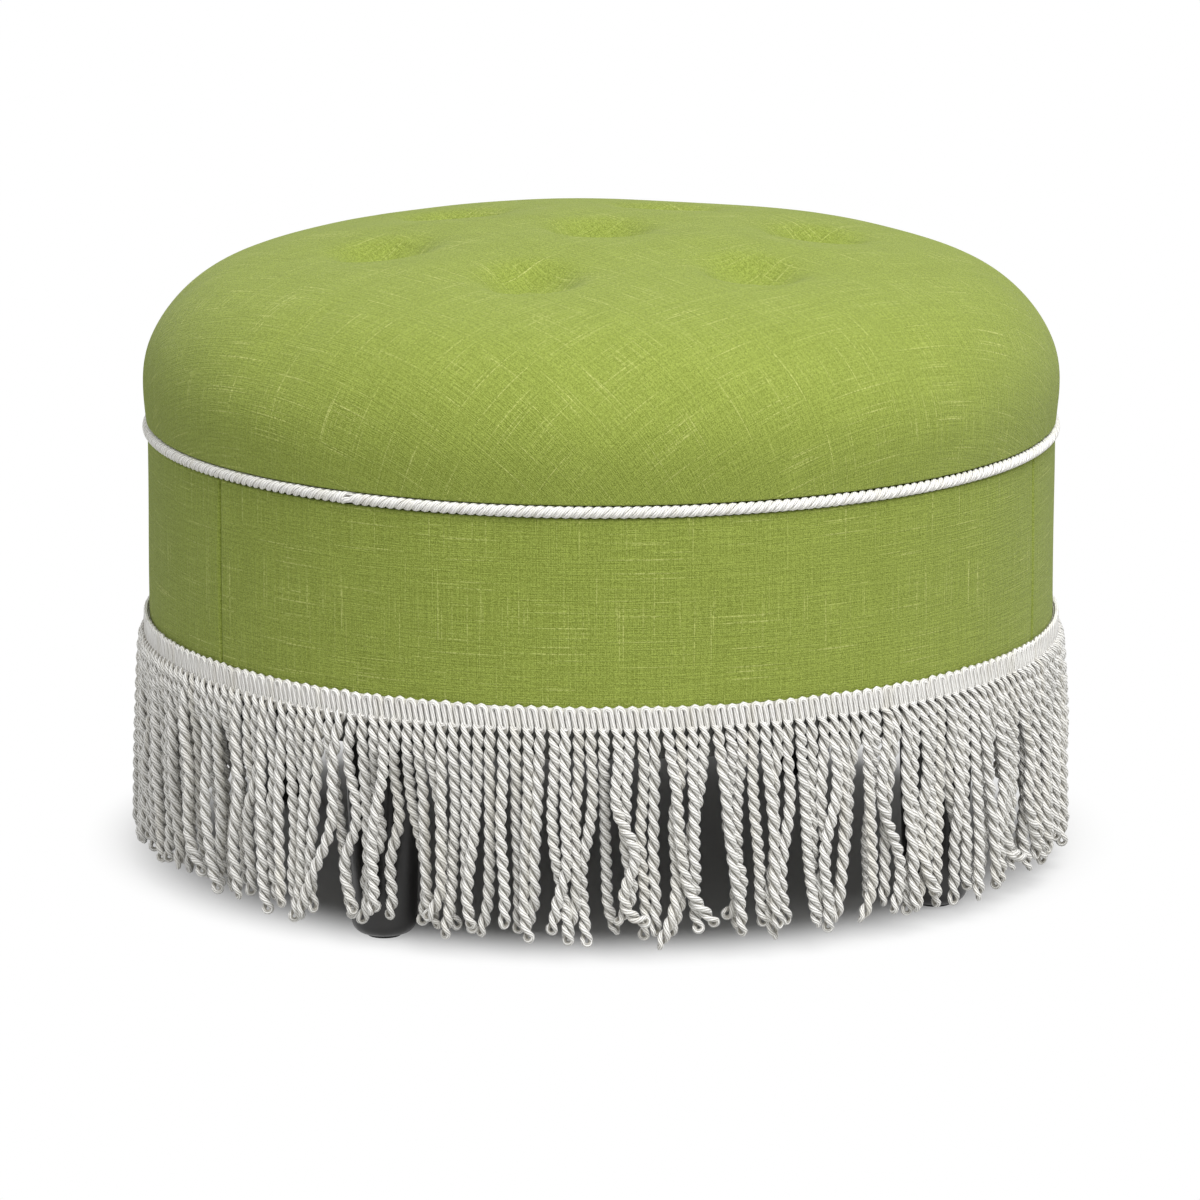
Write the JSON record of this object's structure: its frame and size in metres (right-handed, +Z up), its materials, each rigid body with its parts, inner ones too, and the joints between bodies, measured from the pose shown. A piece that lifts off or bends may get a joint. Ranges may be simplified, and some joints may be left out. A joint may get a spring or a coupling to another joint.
{
  "type": "round ottoman",
  "caption": "Round upholstered ottoman with a tufted linen cushion, twisted lip cord, bullion fringe and screw-in turned legs, for a footrest or seat.",
  "frame": {"origin": "on the floor, under the middle of the ottoman", "axes": "+Z up, -Y to the front that the picture shows, +X to its right"},
  "size_m": [0.6282, 0.6282, 0.4295],
  "materials": {
    "green_linen": "matte",
    "ivory_trim": "satin",
    "black_lacquer": "satin",
    "nylon": "matte",
    "zinc_steel": "satin",
    "plywood": "matte",
    "pine": "matte",
    "hardboard": "matte",
    "foam": "matte",
    "wadding": "matte",
    "twine": "matte",
    "card": "matte",
    "grey_cambric": "matte"
  },
  "bodies": {
    "seat": {"band_panel_front": "green_linen", "band_panel_left": "green_linen", "band_panel_right": "green_linen", "band_wadding": "wadding", "base_board": "plywood", "base_screws": "zinc_steel", "deck_board": "plywood", "deck_screws": "zinc_steel", "dust_cover": "grey_cambric", "dust_cover_staples": "zinc_steel", "edge_staples": "zinc_steel", "foam_core": "foam", "fringe_header": "ivory_trim", "fringe_strands_1": "ivory_trim", "fringe_strands_2": "ivory_trim", "fringe_strands_3": "ivory_trim", "fringe_strands_4": "ivory_trim", "fringe_strands_5": "ivory_trim", "fringe_strands_6": "ivory_trim", "post_1": "pine", "post_2": "pine", "post_3": "pine", "post_4": "pine", "post_5": "pine", "post_6": "pine", "post_7": "pine", "post_8": "pine", "rope_tape": "ivory_trim", "rope_trim": "ivory_trim", "side_skin": "hardboard", "tack_strip": "card", "tee_nuts": "zinc_steel", "top_cover": "green_linen", "top_wadding": "wadding", "tuft_buttons": "green_linen", "tuft_twines": "twine", "tuft_washers": "zinc_steel"},
    "front_left_stud": {"leg_front_left_bolt": "zinc_steel"},
    "front_left_leg": {"leg_front_left": "black_lacquer", "leg_front_left_glide": "nylon"},
    "front_right_stud": {"leg_front_right_bolt": "zinc_steel"},
    "front_right_leg": {"leg_front_right": "black_lacquer", "leg_front_right_glide": "nylon"},
    "back_right_stud": {"leg_back_right_bolt": "zinc_steel"},
    "back_right_leg": {"leg_back_right": "black_lacquer", "leg_back_right_glide": "nylon"},
    "back_left_stud": {"leg_back_left_bolt": "zinc_steel"},
    "back_left_leg": {"leg_back_left": "black_lacquer", "leg_back_left_glide": "nylon"}
  },
  "joints": [
    {"name": "front_left_leg_drop", "type": "slide", "parent": "seat", "child": "front_left_stud", "axis": [0, 0, -1], "range_m": [0, 0.015]},
    {"name": "front_left_leg_unscrew", "type": "hinge", "parent": "front_left_stud", "child": "front_left_leg", "pos_m": [-0.14116, -0.22072, 0.071], "axis": [0, 0, -1], "range_deg": [0, 4320]},
    {"name": "front_right_leg_drop", "type": "slide", "parent": "seat", "child": "front_right_stud", "axis": [0, 0, -1], "range_m": [0, 0.015]},
    {"name": "front_right_leg_unscrew", "type": "hinge", "parent": "front_right_stud", "child": "front_right_leg", "pos_m": [0.22072, -0.14116, 0.071], "axis": [0, 0, -1], "range_deg": [0, 4320]},
    {"name": "back_right_leg_drop", "type": "slide", "parent": "seat", "child": "back_right_stud", "axis": [0, 0, -1], "range_m": [0, 0.015]},
    {"name": "back_right_leg_unscrew", "type": "hinge", "parent": "back_right_stud", "child": "back_right_leg", "pos_m": [0.14116, 0.22072, 0.071], "axis": [0, 0, -1], "range_deg": [0, 4320]},
    {"name": "back_left_leg_drop", "type": "slide", "parent": "seat", "child": "back_left_stud", "axis": [0, 0, -1], "range_m": [0, 0.015]},
    {"name": "back_left_leg_unscrew", "type": "hinge", "parent": "back_left_stud", "child": "back_left_leg", "pos_m": [-0.22072, 0.14116, 0.071], "axis": [0, 0, -1], "range_deg": [0, 4320]}
  ],
  "couplings": [
    {"joint": "front_left_leg_drop", "follows": "front_left_leg_unscrew", "m_per_rad": 0.00019894},
    {"joint": "front_right_leg_drop", "follows": "front_right_leg_unscrew", "m_per_rad": 0.00019894},
    {"joint": "back_right_leg_drop", "follows": "back_right_leg_unscrew", "m_per_rad": 0.00019894},
    {"joint": "back_left_leg_drop", "follows": "back_left_leg_unscrew", "m_per_rad": 0.00019894}
  ]
}
